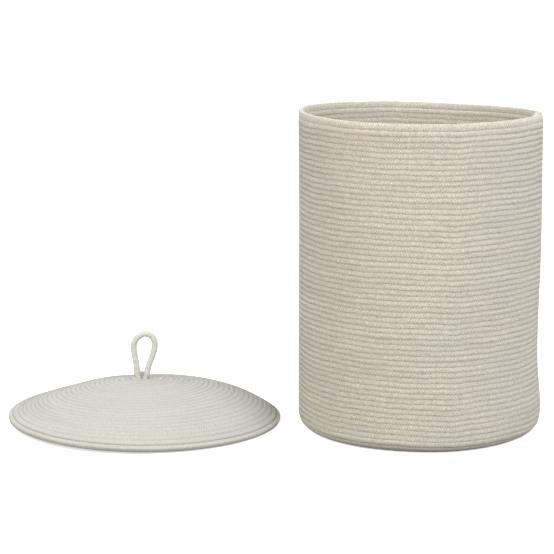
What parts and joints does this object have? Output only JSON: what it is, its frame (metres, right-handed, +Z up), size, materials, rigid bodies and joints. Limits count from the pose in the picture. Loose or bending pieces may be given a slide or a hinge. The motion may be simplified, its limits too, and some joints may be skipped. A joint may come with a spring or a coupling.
{
  "type": "laundry hamper with lid",
  "caption": "Tall round laundry hamper of coiled, stitched cotton rope, with a separate shallow domed rope lid that has a rope loop handle and stands beside it.",
  "frame": {"origin": "centre of the basket's underside, on the floor", "axes": "+Z up along the basket's axis; -X towards the lid, which lies right side up on the floor beside the basket; the loop handle's plane is the lid's XZ plane"},
  "size_m": [0.8555, 0.4525, 0.5],
  "materials": {
    "basket_rope": "matt natural cotton rope, warm off-white",
    "lid_rope": "matt natural cotton rope, pale off-white",
    "loop_rope": "matt natural cotton rope, pale off-white",
    "sewing_thread": "matt cotton sewing thread, off-white"
  },
  "bodies": {
    "basket": {"base_coil": "basket_rope", "corner_courses": "basket_rope", "wall_coil": "basket_rope", "rim_course": "basket_rope", "rope_end": "basket_rope", "rope_end_tack_1": "sewing_thread", "rope_end_tack_2": "sewing_thread"},
    "lid": {"lid_centre_coil": "lid_rope", "lid_dome_coil": "lid_rope", "lid_edge_course": "lid_rope", "loop_foot_left": "loop_rope", "loop_foot_right": "loop_rope", "loop_lashing": "sewing_thread", "foot_tack_left": "sewing_thread", "foot_tack_right": "sewing_thread"},
    "loop": {"loop_handle": "loop_rope"}
  },
  "joints": [
    {"name": "lid_lift", "type": "slide", "parent": "basket", "child": "lid", "axis": [0, 0, 1], "range_m": [0, 0.6]},
    {"name": "loop_flop", "type": "hinge", "parent": "lid", "child": "loop", "pos_m": [-0.444, 0.041, 0.074], "axis": [1, 0, 0], "range_deg": [-70, 70], "stiffness_Nm_per_rad": 0.02}
  ]
}
